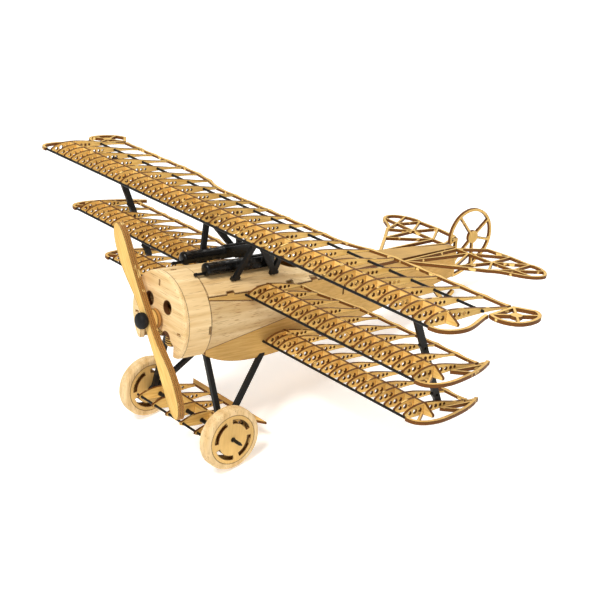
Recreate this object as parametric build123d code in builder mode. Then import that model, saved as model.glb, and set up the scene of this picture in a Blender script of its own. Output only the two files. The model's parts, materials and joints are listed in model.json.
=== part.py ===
"""Wooden display model of a three-wing aeroplane, built from thin cut sheets and rods.

The aeroplane is laid out level, in millimetres from the middle of the cowl face: x to its
left wing, y aft and z up.  The thrust frame then tips it back on its wheels and tail skid.
"""
import os
from math import asin, atan2, cos, degrees, hypot, radians, sin, sqrt

from build123d import *

os.makedirs("parts", exist_ok=True)

# ---------------------------------------------------------------- driving dimensions
fit_gap = 0.03              # glued pieces stop this far from one another
run_gap = 0.05              # radial clearance where something turns
sheet = 1.5                 # ribs and webs
plate = 2.0                 # tips, tail and fuselage sides
cutter = 60.0               # a cutting shape reaches past anything it cuts

nose_to_origin = 120.086    # along the ground, from the cowl face to the middle of the model

wheel_y = 24.2              # axle centre
wheel_z = -62.7
wheel_radius = 19.0
wheel_x = 43.5              # middle of each wheel
tyre_width = 8.0
skid_y = 228.1              # centre of the tail skid's round foot
skid_z = -24.1
skid_round = 1.4

cowl_radius = 28.0
cowl_face_depth = 3.0
cowl_depth = 18.2
cowl_wall = 1.6
cowl_cut_z = -18.0          # the cowl is open below this level

body_half = 23.0            # half width of the fuselage from the cowl to the cockpit
body_straight_y = 80.0
stern_y = 231.0
stern_half = 3.2
seam_z_front = 16.6         # top edge of the fuselage sides at the cowl
seam_z_stern = 12.4
deck_crown_z = 27.5
deck_sheet = 1.6
seam_gap = 0.3              # between the deck and the fuselage sides
deck_end_y = 106.0

rib_pitch = 17.553          # upper wing
upper_bays = 21
short_pitch = 15.75         # middle and lower wings
spar_back = 15.0            # spar web behind the leading rod
rear_rod_back = 38.7
rear_rod_rise = 1.5
rod_radius = 0.75
web_foot = -1.5             # spar web heights from the leading rod
web_top = 5.2
lap_level = 2.0             # ribs are slotted below this level, the web above it
lap_width = sheet + 2 * fit_gap
strip_depth = 3.0           # trailing strip, front to back
strip_hollow = 1.1          # how far it is scalloped between two ribs
strip_drop = 0.7            # its underside, below the leading rod
tail_gap = 0.3              # rib tail to trailing strip

upper_le = (31.4, 52.5)     # leading rod centre, y and z
middle_le = (44.7, 14.8)
lower_le = (59.9, -16.5)
upper_chord = 60.8
lower_chord = 48.0

strut_x = 145.0
prop_radius = 60.7
prop_angle = 37.4           # where the propeller is parked
axle_radius = 1.3
shaft_radius = 1.5
frame_bar = 2.0             # bars of the outlines of the tips, horns and tail
truss_bar = 1.5             # thinner bars inside them

# ---------------------------------------------------------------- the frame
skid_reach = hypot(skid_y - wheel_y, skid_z - wheel_z)
skid_slope = degrees(atan2(skid_z - wheel_z, skid_y - wheel_y))
stance = skid_slope + degrees(asin((wheel_radius - skid_round) / skid_reach))
tip_sin = sin(radians(stance))
tip_cos = cos(radians(stance))
axle_height = wheel_z * tip_cos - wheel_y * tip_sin
thrust = Plane(
    origin=(0, -nose_to_origin, wheel_radius - axle_height),
    x_dir=(1, 0, 0),
    z_dir=(0, tip_sin, tip_cos),
)
aft = thrust.y_dir
up = thrust.z_dir
span = thrust.x_dir


def point(x, y, z):
    """A place on the level aeroplane, in the model's own frame."""
    return thrust.from_local_coords(Vector(x, y, z))


def side(x):
    """Sketch plane across the span: sketch x runs aft and sketch y runs up."""
    return Plane(origin=point(x, 0, 0), x_dir=aft, z_dir=(1, 0, 0))


def frame(y):
    """Sketch plane across the fuselage: sketch y runs up, and it extrudes forwards."""
    return Plane(origin=point(0, y, 0), x_dir=(1, 0, 0), z_dir=aft * -1)


def level(z):
    """Sketch plane seen from above: sketch y runs aft, and it extrudes upwards."""
    return thrust.offset(z)


def slat(start, end, width):
    """A straight bar with round ends in the current sketch."""
    across = end[0] - start[0]
    along = end[1] - start[1]
    length = hypot(across, along)
    middle = ((start[0] + end[0]) / 2, (start[1] + end[1]) / 2)
    with Locations(middle):
        SlotCenterToCenter(length, width, rotation=degrees(atan2(along, across)))


def save(piece, name):
    """Name a finished piece and write it."""
    piece.part.label = name
    export_step(piece.part, f"parts/{name}.step")


# ---------------------------------------------------------------- wings
def rib_outline(chord):
    """Aerofoil from just behind the leading rod to the trailing strip."""
    nose = rod_radius + fit_gap
    tail = chord - strip_depth - tail_gap
    with BuildLine() as outline:
        Line((nose, -1.1), (nose, 1.1))
        Spline((nose, 1.1), (6.5, 4.1), (0.3 * chord, 5.2), (0.62 * chord, 3.1), (tail, 0.9))
        Line((tail, 0.9), (tail, -0.6))
        Spline((tail, -0.6), (0.62 * chord, 0.1), (0.3 * chord, -1.2), (6.5, -1.7), (nose, -1.1))
    make_face(outline.edges())


def nose_holes():
    """Three lightening holes ahead of the spar web."""
    for back, lift, radius in ((4.6, 1.1, 1.05), (8.1, 1.6, 1.4), (11.7, 1.8, 1.2)):
        with Locations((back, lift)):
            Circle(radius, mode=Mode.SUBTRACT)


def tail_holes():
    """Four smaller holes behind it."""
    for back, radius in ((19.6, 1.25), (23.2, 1.05), (26.5, 0.9), (29.4, 0.75)):
        with Locations((back, 1.9)):
            Circle(radius, mode=Mode.SUBTRACT)


def wing_ribs(stations, edge, chord, setback, has_rear_rod):
    """Full ribs, slotted from below for the spar web; setback(x) shortens a rib's tail."""
    with BuildPart() as ribs:
        for x in stations:
            start = point(x - sheet / 2, edge[0], edge[1])
            cut = chord - setback(x) - strip_depth - tail_gap
            with BuildSketch(Plane(origin=start, x_dir=aft, z_dir=(1, 0, 0))):
                rib_outline(chord)
                nose_holes()
                tail_holes()
                with Locations((cut + cutter / 2, 0)):
                    Rectangle(cutter, cutter, mode=Mode.SUBTRACT)
                with Locations((spar_back, lap_level - cutter / 2)):
                    Rectangle(lap_width, cutter, mode=Mode.SUBTRACT)
                if has_rear_rod:
                    with Locations((rear_rod_back, rear_rod_rise)):
                        Circle(rod_radius + fit_gap, mode=Mode.SUBTRACT)
            extrude(amount=sheet)
    return ribs


def wing_riblets(stations, edge, chord):
    """Short nose ribs between the full ones, ending at the spar web."""
    with BuildPart() as riblets:
        for x in stations:
            start = point(x - sheet / 2, edge[0], edge[1])
            with BuildSketch(Plane(origin=start, x_dir=aft, z_dir=(1, 0, 0))):
                rib_outline(chord)
                nose_holes()
                with Locations((spar_back - lap_width / 2 + cutter / 2, 0)):
                    Rectangle(cutter, cutter, mode=Mode.SUBTRACT)
            extrude(amount=sheet)
    return riblets


def web_plane(edge):
    """Back face of a spar web: sketch x is the span, sketch y runs up from the rod."""
    start = point(0, edge[0] + spar_back + sheet / 2, edge[1])
    return Plane(origin=start, x_dir=(1, 0, 0), z_dir=aft * -1)


def web_outline(inner, outer, end_reach, stations):
    """Upright web with a pointed outboard end and slots from above for the ribs."""
    with BuildLine() as outline:
        Polyline(
            (inner, web_foot),
            (outer, web_foot),
            (outer + end_reach, -0.6),
            (outer + end_reach, 0.8),
            (outer, web_top),
            (inner, web_top),
            close=True,
        )
    make_face(outline.edges())
    for x in stations:
        with Locations((x, lap_level - fit_gap + cutter / 2)):
            Rectangle(lap_width, cutter, mode=Mode.SUBTRACT)


def trailing_strip(stations, edge, chord, setback):
    """Flat strip behind the ribs, hollowed between each two of them."""
    for left, right in zip(stations, stations[1:]):
        left_y = edge[0] + chord - setback(left)
        right_y = edge[0] + chord - setback(right)
        middle = ((left + right) / 2, (left_y + right_y) / 2 - strip_hollow)
        with BuildLine() as outline:
            Line((left, left_y), (left, left_y - strip_depth))
            Line((left, left_y - strip_depth), (right, right_y - strip_depth))
            Line((right, right_y - strip_depth), (right, right_y))
            ThreePointArc((right, right_y), middle, (left, left_y))
        make_face(outline.edges())


def upper_setback(x):
    """The upper wing is cut back over the cockpit."""
    if abs(x) < 4 * rib_pitch:
        return 8.5
    return 3.0 if abs(x) < 5 * rib_pitch else 0.0


def lower_setback(x):
    """The middle and lower wings are cut back at the fuselage."""
    if abs(x) < 45:
        return 6.0
    return 2.5 if abs(x) < 60 else 0.0


outer_rib = upper_bays * rib_pitch / 2
upper_stations = [k * rib_pitch - outer_rib for k in range(upper_bays + 1)]
upper_between = [x + rib_pitch / 2 for x in upper_stations[:-1]]
middle_outer_rib = 166.4
lower_outer_rib = 147.2
root_rib = 25.2
middle_stations = [middle_outer_rib - k * short_pitch for k in range(9, -1, -1)]
lower_stations = [root_rib] + [lower_outer_rib - k * short_pitch for k in range(7, -1, -1)]

# upper wing, one piece from tip to tip
upper_rod_end = 188.5
rear_rod_end = outer_rib + 2
upper_wing_ribs = wing_ribs(upper_stations, upper_le, upper_chord, upper_setback, True)
save(upper_wing_ribs, "upper_wing_ribs")
upper_wing_riblets = wing_riblets(upper_between, upper_le, upper_chord)
save(upper_wing_riblets, "upper_wing_riblets")

with BuildPart() as upper_wing_spar:
    with BuildSketch(web_plane(upper_le)):
        web_outline(0, outer_rib + 1, 8.0, upper_stations[upper_bays // 2 + 1 :])
    extrude(amount=sheet)
    mirror(about=Plane.YZ)
save(upper_wing_spar, "upper_wing_spar")

with BuildPart() as upper_wing_leading_rod:
    with BuildSketch(side(-upper_rod_end)):
        with Locations(upper_le):
            Circle(rod_radius)
    extrude(amount=2 * upper_rod_end)
save(upper_wing_leading_rod, "upper_wing_leading_rod")

with BuildPart() as upper_wing_rear_rod:
    with BuildSketch(side(-rear_rod_end)):
        with Locations((upper_le[0] + rear_rod_back, upper_le[1] + rear_rod_rise)):
            Circle(rod_radius)
    extrude(amount=2 * rear_rod_end)
save(upper_wing_rear_rod, "upper_wing_rear_rod")

with BuildPart() as upper_wing_trailing_strip:
    with BuildSketch(level(upper_le[1] - strip_drop)):
        trailing_strip(upper_stations, upper_le, upper_chord, upper_setback)
    extrude(amount=sheet)
save(upper_wing_trailing_strip, "upper_wing_trailing_strip")

with BuildPart() as upper_wing_tips:
    with BuildSketch(level(upper_le[1] - plate / 2)):
        with BuildLine():
            Spline(
                (upper_rod_end + 0.1, upper_le[0] - 0.2),
                (196.5, 34.0),
                (199.4, 43.0),
                (196.2, 55.0),
                (189.4, 69.6),
            )
        trace(line_width=frame_bar)
        mirror(about=Plane.YZ)
    extrude(amount=plate)
save(upper_wing_tips, "upper_wing_tips")

with BuildPart() as aileron_horns:
    with BuildSketch(level(upper_le[1] - plate / 2)):
        with BuildLine():
            Spline(
                (190.2, 71.8),
                (197.8, 70.9),
                (205.2, 75.6),
                (206.6, 84.0),
                (203.0, 93.6),
                (196.8, 97.2),
            )
            Line((196.8, 97.2), (187.2, 91.2))
            Line((187.2, 91.2), (190.2, 71.8))
        trace(line_width=frame_bar)
        slat((190.4, 73.0), (202.6, 93.4), truss_bar)
        slat((188.0, 90.4), (205.0, 76.4), truss_bar)
        with Locations((196.8, 83.2)):
            Circle(3.2)
        mirror(about=Plane.YZ)
    extrude(amount=plate)
save(aileron_horns, "aileron_horns")


def half_wing(name, edge, stations, root):
    """Ribs, riblets, webs, rods, strips and tips of the wing on both sides of the fuselage."""
    outer = stations[-1]
    rod_end = outer + 3.3
    both = [-x for x in reversed(stations)] + stations
    between = [(a + b) / 2 for a, b in zip(stations, stations[1:]) if b - a > short_pitch / 2]
    between_both = [-x for x in between] + between

    ribs = wing_ribs(both, edge, lower_chord, lower_setback, False)
    save(ribs, f"{name}_wing_ribs")

    riblets = wing_riblets(between_both, edge, lower_chord)
    save(riblets, f"{name}_wing_riblets")

    with BuildPart() as spars:
        with BuildSketch(web_plane(edge)):
            web_outline(root, outer + 1, 7.0, stations)
        extrude(amount=sheet)
        mirror(about=Plane.YZ)
    save(spars, f"{name}_wing_spars")

    with BuildPart() as rods:
        with BuildSketch(side(root)):
            with Locations(edge):
                Circle(rod_radius)
        extrude(amount=rod_end - root)
        mirror(about=Plane.YZ)
    save(rods, f"{name}_wing_leading_rods")

    with BuildPart() as strips:
        with BuildSketch(level(edge[1] - strip_drop)):
            trailing_strip(stations, edge, lower_chord, lower_setback)
        extrude(amount=sheet)
        mirror(about=Plane.YZ)
    save(strips, f"{name}_wing_trailing_strips")

    with BuildPart() as tips:
        with BuildSketch(level(edge[1] - plate / 2)):
            with BuildLine():
                Spline(
                    (rod_end + 0.1, edge[0] - 0.2),
                    (rod_end + 7.0, edge[0] + 2.0),
                    (rod_end + 10.2, edge[0] + 10.0),
                    (rod_end + 9.0, edge[0] + 24.0),
                    (rod_end + 4.6, edge[0] + 40.0),
                    (rod_end - 2.4, edge[0] + 54.0),
                )
            trace(line_width=frame_bar)
            slat((outer + 2.2, edge[0] + 26.0), (rod_end + 0.6, edge[0] + 48.0), truss_bar)
            slat((outer + 2.2, edge[0] + 26.0), (rod_end + 6.4, edge[0] + 34.5), truss_bar)
            slat((outer + 2.2, edge[0] + 12.0), (rod_end + 6.6, edge[0] + 2.2), truss_bar)
            slat((outer + 2.0, edge[0] + 46.6), (rod_end - 1.2, edge[0] + 53.0), truss_bar)
        extrude(amount=plate)
        mirror(about=Plane.YZ)
    save(tips, f"{name}_wing_tips")


half_wing("middle", middle_le, middle_stations, body_half + fit_gap)
half_wing("lower", lower_le, lower_stations, body_half + fit_gap)

# ---------------------------------------------------------------- fuselage
seam_slope = (seam_z_stern - seam_z_front) / (stern_y - cowl_depth)


def seam_z(y):
    """Height of the top edge of the fuselage sides."""
    return seam_z_front + seam_slope * (y - cowl_depth)


body_front = cowl_depth + seam_gap
body_taper = (body_half - stern_half) / (stern_y - body_straight_y)
belly_line = [(body_front, -18.5), (38.0, -25.2), (58.0, -26.2), (90.0, -23.6)]
stern_foot = -6.0
tab_places = (34.0, 56.0, 78.0, 98.0)
tab_length = 5.0
tab_rise = 2.2              # tabs of the sides, up into the deck


def plan_strip(hand, thickness):
    """One fuselage side seen from above, tapering from the cockpit to the stern."""
    with BuildLine() as outline:
        Polyline(
            (hand * body_half, 0),
            (hand * body_half, body_straight_y),
            (hand * stern_half, stern_y),
            (hand * (stern_half - thickness), stern_y),
            (hand * (body_half - thickness), body_straight_y),
            (hand * (body_half - thickness), 0),
            close=True,
        )
    make_face(outline.edges())


def plan_inside(front, rear, clearance):
    """The space between the fuselage sides seen from above, from front to rear."""
    half = body_half - plate - clearance
    rear_half = half - body_taper * max(rear - body_straight_y, 0)
    with BuildLine() as outline:
        if front < body_straight_y < rear:
            Polyline(
                (-half, front),
                (half, front),
                (half, body_straight_y),
                (rear_half, rear),
                (-rear_half, rear),
                (-half, body_straight_y),
                close=True,
            )
        else:
            front_half = half - body_taper * max(front - body_straight_y, 0)
            Polyline(
                (-front_half, front),
                (front_half, front),
                (rear_half, rear),
                (-rear_half, rear),
                close=True,
            )
    make_face(outline.edges())


def side_outline(lift, drop, mode=Mode.ADD):
    """The fuselage side, with its lower edge lifted and its upper edge dropped."""
    top_front = (body_front, seam_z(body_front) - drop)
    top_rear = (stern_y, seam_z_stern - drop)
    foot_rear = (stern_y, stern_foot + lift)
    with BuildLine() as outline:
        Line((body_front, belly_line[0][1] + lift), top_front)
        Line(top_front, top_rear)
        Line(top_rear, foot_rear)
        Line(foot_rear, (belly_line[-1][0], belly_line[-1][1] + lift))
        Spline(*[(y, z + lift) for y, z in reversed(belly_line)])
    make_face(outline.edges(), mode=mode)


for name, hand in (("left", 1), ("right", -1)):
    with BuildPart() as body_side:
        with BuildSketch(side(0)):
            side_outline(0, 0)
            for y in tab_places:
                with Locations((y, seam_z(y))):
                    Rectangle(tab_length, tab_rise)
            with Locations((124.0, 4.0)):
                Rectangle(1.0, 5.0, mode=Mode.SUBTRACT)
        extrude(amount=hand * (body_half + 1))
        with BuildSketch(level(-cutter)):
            plan_strip(hand, plate)
        extrude(amount=2 * cutter, mode=Mode.INTERSECT)
    save(body_side, f"fuselage_side_{name}")


with BuildPart() as belly_board:
    with BuildSketch(side(-body_half)):
        side_outline(0.1, 12)
        side_outline(0.1 + deck_sheet, 0, Mode.SUBTRACT)
    extrude(amount=2 * body_half)
    with BuildSketch(level(-cutter)):
        plan_inside(body_front, stern_y, fit_gap)
    extrude(amount=2 * cutter, mode=Mode.INTERSECT)
save(belly_board, "belly_board")


def deck_arc(half, foot, crown):
    """Curved deck sheet in section, resting on the fuselage sides."""
    inner = half - 1.6 * deck_sheet
    with BuildLine() as outline:
        ThreePointArc((-half, foot), (0, crown), (half, foot))
        Line((half, foot), (inner, foot))
        ThreePointArc((inner, foot), (0, crown - deck_sheet), (-inner, foot))
        Line((-inner, foot), (-half, foot))
    make_face(outline.edges())


deck_bend_y = 76.0
deck_end_half = body_half - 3.3
deck_end_crown_z = 20.5
cockpit_y = 88.0
with BuildPart() as front_deck:
    with BuildSketch(frame(body_front)):
        deck_arc(body_half, seam_z_front + seam_gap, deck_crown_z)
    with BuildSketch(frame(deck_bend_y)):
        deck_arc(body_half, seam_z(deck_bend_y) + seam_gap, deck_crown_z - 1.0)
    loft()
    with BuildSketch(frame(deck_bend_y)):
        deck_arc(body_half, seam_z(deck_bend_y) + seam_gap, deck_crown_z - 1.0)
    with BuildSketch(frame(deck_end_y)):
        deck_arc(deck_end_half, seam_z(deck_end_y) + seam_gap, deck_end_crown_z)
    loft()
    with BuildSketch(level(0)):
        with Locations((0, cockpit_y)):
            Ellipse(11.0, 13.5)
    extrude(amount=cutter, mode=Mode.SUBTRACT)
    with BuildSketch(level(0)):
        for y in tab_places:
            with Locations((body_half - 1.3, y), (1.3 - body_half, y)):
                Rectangle(8.4, tab_length + 0.1)
    extrude(amount=seam_z_front + 1.3, mode=Mode.SUBTRACT)
save(front_deck, "front_deck")

with BuildPart() as rear_deck:
    with BuildSketch(side(-body_half)):
        with BuildLine():
            Polyline(
                (deck_end_y + 0.1, seam_z(deck_end_y) + fit_gap),
                (stern_y, seam_z_stern + fit_gap),
                (stern_y, seam_z_stern + plate),
                (deck_end_y + 0.1, seam_z(deck_end_y) + plate),
                close=True,
            )
        make_face()
    extrude(amount=2 * body_half)
    with BuildSketch(level(0)):
        plan_inside(deck_end_y, stern_y, -plate)
    extrude(amount=cutter, mode=Mode.INTERSECT)
save(rear_deck, "rear_deck")

former_places = (46.0, 74.0, 110.0, 150.0, 190.0)
former_rim = 3.5            # width of a former's frame
former_foot_z = -18.0
belly_rise = 0.082          # the belly climbs this much for each unit aft of the lower wing
with BuildPart() as fuselage_formers:
    for y in former_places:
        with BuildSketch(frame(y)):
            half = body_half - plate - 2 * fit_gap - body_taper * max(y - body_straight_y, 0)
            top = seam_z(y) - 0.1
            foot = former_foot_z + belly_rise * max(y - lower_le[0], 0)
            with Locations((0, (top + foot) / 2)):
                Rectangle(2 * half, top - foot)
                Rectangle(2 * (half - former_rim), top - foot - 2 * former_rim, mode=Mode.SUBTRACT)
        extrude(amount=plate)
save(fuselage_formers, "fuselage_formers")

firewall_radius = 25.0
firewall_half = body_half - plate - 0.1
firewall_foot_z = -16.6
with BuildPart() as firewall:
    with BuildSketch(frame(body_front + plate)):
        Circle(firewall_radius)
        with Locations((0, firewall_foot_z - cutter / 2)):
            Rectangle(cutter, cutter, mode=Mode.SUBTRACT)
        for x in (-firewall_half - cutter / 2, firewall_half + cutter / 2):
            with Locations((x, 0)):
                Rectangle(cutter, cutter, mode=Mode.SUBTRACT)
        with Locations((0, seam_z_front + cutter / 2)):
            Rectangle(cutter, cutter, mode=Mode.SUBTRACT)
        Circle(shaft_radius + 0.7, mode=Mode.SUBTRACT)
    extrude(amount=plate)
save(firewall, "firewall")

flank = body_half + fit_gap
cheek_radius = cowl_radius - 0.3
cheek_rise = sqrt(cheek_radius**2 - flank**2)
cheek_end_y = 76.0
cheek_end_high = 7.4
cheek_end_low = -4.4
for name, hand in (("left", 1), ("right", -1)):
    with BuildPart() as cheek:
        with BuildSketch(frame(body_front)):
            with BuildLine():
                high = (hand * flank, cheek_rise)
                low = (hand * flank, -cheek_rise)
                ThreePointArc(high, (hand * cheek_radius, 0), low)
                Line(low, high)
            make_face()
        with BuildSketch(frame(cheek_end_y)):
            with BuildLine():
                high = (hand * flank, cheek_end_high)
                low = (hand * flank, cheek_end_low)
                ThreePointArc(high, (hand * (flank + 1.6), 1.0), low)
                Line(low, high)
            make_face()
        loft()
    save(cheek, f"cheek_{name}")

# ---------------------------------------------------------------- cowl and engine
cowl_corner = 1.8           # rounding of the cowl's front edge
arch_half = 17.4            # half width of the opening below the shaft
port_radius = 4.0
port_reach = 9.2            # the two air ports, out from the shaft and up
tab_slot = 1.2
with BuildPart() as cowl_face:
    with BuildSketch(frame(cowl_face_depth)):
        Circle(cowl_radius)
    extrude(amount=cowl_face_depth)
    fillet(cowl_face.edges().sort_by(Axis(point(0, 0, 0), aft))[0], cowl_corner)
    with BuildSketch(frame(cowl_face_depth)):
        with BuildLine():
            Line((-arch_half, -cutter), (-arch_half, -12.0))
            ThreePointArc((-arch_half, -12.0), (0, -5.6), (arch_half, -12.0))
            Line((arch_half, -12.0), (arch_half, -cutter))
            Line((arch_half, -cutter), (-arch_half, -cutter))
        make_face()
        with Locations((0, cowl_cut_z - cutter / 2)):
            Rectangle(cutter, cutter)
        with Locations((port_reach, port_reach), (-port_reach, port_reach)):
            Circle(port_radius)
        Circle(shaft_radius + 0.5)
        with Locations((0, 21.6)):
            Rectangle(tab_slot, 3.4)
        with Locations((21.9, -3.0), (-21.9, -3.0)):
            Rectangle(3.4, tab_slot)
    extrude(amount=cowl_face_depth, mode=Mode.SUBTRACT)
save(cowl_face, "cowl_face")

with BuildPart() as cowl_band:
    with BuildSketch(frame(cowl_depth)):
        Circle(cowl_radius)
        Circle(cowl_radius - cowl_wall, mode=Mode.SUBTRACT)
        with Locations((0, cowl_cut_z - cutter / 2)):
            Rectangle(cutter, cutter, mode=Mode.SUBTRACT)
    extrude(amount=cowl_depth - cowl_face_depth - fit_gap)
    with BuildSketch(side(-cutter)):
        with Locations((cowl_depth, -1.2)):
            Rectangle(3.0, 4.6)
    extrude(amount=2 * cutter, mode=Mode.SUBTRACT)
    with BuildSketch(level(0)):
        with Locations((0, cowl_depth / 2)):
            Rectangle(tab_slot, 3.6)
    extrude(amount=cutter, mode=Mode.SUBTRACT)
save(cowl_band, "cowl_band")

engine_y = 10.4
crankcase_radius = 8.0
crankcase_depth = 12.0
cylinder_count = 9
cylinder_radius = 2.6
cylinder_length = 10.5
fin_radius = 3.6
fins = 5
first_fin = 3.2             # from the root of the cylinder
fin_pitch = 1.35
with BuildPart() as engine_crankcase:
    with BuildSketch(frame(engine_y + crankcase_depth / 2)):
        Circle(crankcase_radius)
        Circle(shaft_radius + run_gap, mode=Mode.SUBTRACT)
    extrude(amount=crankcase_depth)
save(engine_crankcase, "engine_crankcase")

with BuildPart() as engine_cylinders:
    for k in range(cylinder_count):
        turn = radians(270 + 360 / cylinder_count * k)
        along = span * cos(turn) + up * sin(turn)
        root = point(0, engine_y, 0) + along * (crankcase_radius + 0.1)
        with BuildSketch(Plane(origin=root, x_dir=aft, z_dir=along)):
            Circle(cylinder_radius)
        extrude(amount=cylinder_length)
        for step in range(fins):
            fin_root = root + along * (first_fin + fin_pitch * step)
            with BuildSketch(Plane(origin=fin_root, x_dir=aft, z_dir=along)):
                Circle(fin_radius)
            extrude(amount=fin_pitch / 2)
save(engine_cylinders, "engine_cylinders")

# ---------------------------------------------------------------- propeller
prop_front = -8.6
prop_back = -3.8
blade_across = span * cos(radians(prop_angle)) + up * sin(radians(prop_angle))
with BuildPart() as propeller:
    with BuildSketch(Plane(origin=point(0, prop_back, 0), x_dir=blade_across, z_dir=aft * -1)):
        Circle(4.2)
        with BuildLine() as blade:
            Line((3.0, 0), (3.4, 30.0))
            Spline((3.4, 30.0), (4.6, 44.0), (4.4, 56.0), (1.0, prop_radius), (-3.4, 58.0))
            Spline((-3.4, 58.0), (-7.2, 46.0), (-7.0, 32.0), (-3.6, 16.0), (-3.0, 0))
            Line((-3.0, 0), (3.0, 0))
        make_face()
        with PolarLocations(0, 1, start_angle=180):
            add(make_face(blade.edges(), mode=Mode.PRIVATE))
        Circle(shaft_radius + fit_gap, mode=Mode.SUBTRACT)
    extrude(amount=prop_back - prop_front)
save(propeller, "propeller")

hub_disc_back = -1.2
with BuildPart() as propeller_hub_disc:
    with BuildSketch(frame(hub_disc_back)):
        Circle(6.0)
        Circle(shaft_radius + fit_gap, mode=Mode.SUBTRACT)
    extrude(amount=hub_disc_back - prop_back - 2 * fit_gap)
save(propeller_hub_disc, "propeller_hub_disc")

nut_flare = 2.2             # from the nut's base to its widest ring
nut_length = 5.4
shaft_in_nut = 2.5
dome_base = frame(prop_front - fit_gap)
with BuildPart() as propeller_dome_nut:
    with BuildSketch(dome_base):
        Circle(4.6)
    with BuildSketch(dome_base.offset(nut_flare)):
        Circle(5.0)
    loft()
    ring = propeller_dome_nut.faces().sort_by(Axis(point(0, 0, 0), aft))[0]
    extrude(ring, amount=nut_length - nut_flare)
    fillet(propeller_dome_nut.edges().sort_by(Axis(point(0, 0, 0), aft))[0], 3.0)
    with BuildSketch(dome_base):
        Circle(shaft_radius + fit_gap)
    extrude(amount=shaft_in_nut + 0.1, mode=Mode.SUBTRACT)
save(propeller_dome_nut, "propeller_dome_nut")

shaft_back = 17.6
with BuildPart() as propeller_shaft:
    with BuildSketch(frame(shaft_back)):
        Circle(shaft_radius)
    extrude(amount=shaft_back - prop_front + shaft_in_nut)
save(propeller_shaft, "propeller_shaft")

# ---------------------------------------------------------------- guns
gun_z = 29.5
gun_x = 11.5
jacket_front = 22.0
jacket_back = 52.0
jacket_radius = 4.0
muzzle_z = gun_z - 2.2
muzzle_length = 6.5
receiver_back = 71.0
receiver_z = gun_z + 0.9
with BuildPart() as gun_jackets:
    with BuildSketch(frame(jacket_back)):
        with Locations((gun_x, gun_z), (-gun_x, gun_z)):
            Circle(jacket_radius)
    extrude(amount=jacket_back - jacket_front)
save(gun_jackets, "gun_jackets")

with BuildPart() as gun_muzzles:
    with BuildSketch(frame(jacket_front - fit_gap)):
        with Locations((gun_x, muzzle_z), (-gun_x, muzzle_z)):
            Circle(1.1)
    extrude(amount=muzzle_length)
save(gun_muzzles, "gun_muzzles")

with BuildPart() as gun_receivers:
    with BuildSketch(frame(receiver_back)):
        with Locations((gun_x, receiver_z), (-gun_x, receiver_z)):
            RectangleRounded(5.4, 8.8, 0.6)
    extrude(amount=receiver_back - jacket_back - fit_gap)
save(gun_receivers, "gun_receivers")

# ---------------------------------------------------------------- struts
cabane_foot_x = 17.0
cabane_foot_z = 23.4
cabane_top_x = 25.6
cabane_top_z = 49.4
cabane_height = hypot(cabane_top_x - cabane_foot_x, cabane_top_z - cabane_foot_z)
cabane_bar = 3.4
cabane_front_y = 40.7
cabane_rear_y = 68.5
for name, hand in (("left", 1), ("right", -1)):
    foot = point(hand * cabane_foot_x, 0, cabane_foot_z)
    head = point(hand * cabane_top_x, 0, cabane_top_z)
    lean = (head - foot).normalized()
    with BuildPart() as cabane:
        with BuildSketch(Plane(origin=foot, x_dir=aft, z_dir=aft.cross(lean))):
            slat((cabane_front_y, 0.6), (48.4, cabane_height - 2.0), cabane_bar)
            slat((cabane_rear_y, 0.6), (49.6, cabane_height - 2.0), cabane_bar)
            slat((cabane_rear_y, 0.6), (71.0, cabane_height - 2.0), cabane_bar)
            with Locations((cabane_front_y, 0.2), (cabane_rear_y, 0.2)):
                Rectangle(6.0, 2.0)
        extrude(amount=plate / 2, both=True)
    save(cabane, f"cabane_strut_{name}")

strut_bar = 3.9
for name, hand in (("left", 1), ("right", -1)):
    with BuildPart() as strut:
        with BuildSketch(side(hand * strut_x)):
            slat((57.7, 53.2), (87.6, -15.4), strut_bar)
            slat((74.0, 16.5), (69.4, 21.6), truss_bar)
            slat((87.0, -14.0), (82.4, -8.8), truss_bar)
            with Locations((72.3, 19.6), (85.0, -9.6)):
                Circle(0.8, mode=Mode.SUBTRACT)
        extrude(amount=1.1, both=True)
    save(strut, f"interplane_strut_{name}")

# ---------------------------------------------------------------- landing gear
gear_foot_x = 36.6
gear_top_x = 21.0
gear_top_z = -22.0
gear_bar = 3.3
leg_front = (21.0, -17.5)
leg_rear = (60.0, -24.5)
for name, hand in (("left", 1), ("right", -1)):
    hub = point(hand * gear_foot_x, wheel_y, wheel_z)
    hip = point(hand * gear_top_x, wheel_y, gear_top_z)
    rise = (hip - hub).normalized()
    stretch = (hip - hub).length / (gear_top_z - wheel_z)
    with BuildPart() as gear_strut:
        with BuildSketch(Plane(origin=hub, x_dir=aft, z_dir=aft.cross(rise))):
            for leg in (leg_front, leg_rear):
                slat((0, 0), (leg[0] - wheel_y, (leg[1] - wheel_z) * stretch), gear_bar)
            Circle(gear_bar)
        extrude(amount=1.2, both=True)
        with BuildSketch(side(-body_half)):
            side_outline(-0.1, 0)
        extrude(amount=2 * body_half, mode=Mode.SUBTRACT)
        with BuildSketch(side(0)):
            with Locations((wheel_y, wheel_z)):
                Circle(axle_radius + fit_gap)
        extrude(amount=hand * cutter, mode=Mode.SUBTRACT)
    save(gear_strut, f"gear_strut_{name}")

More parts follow.
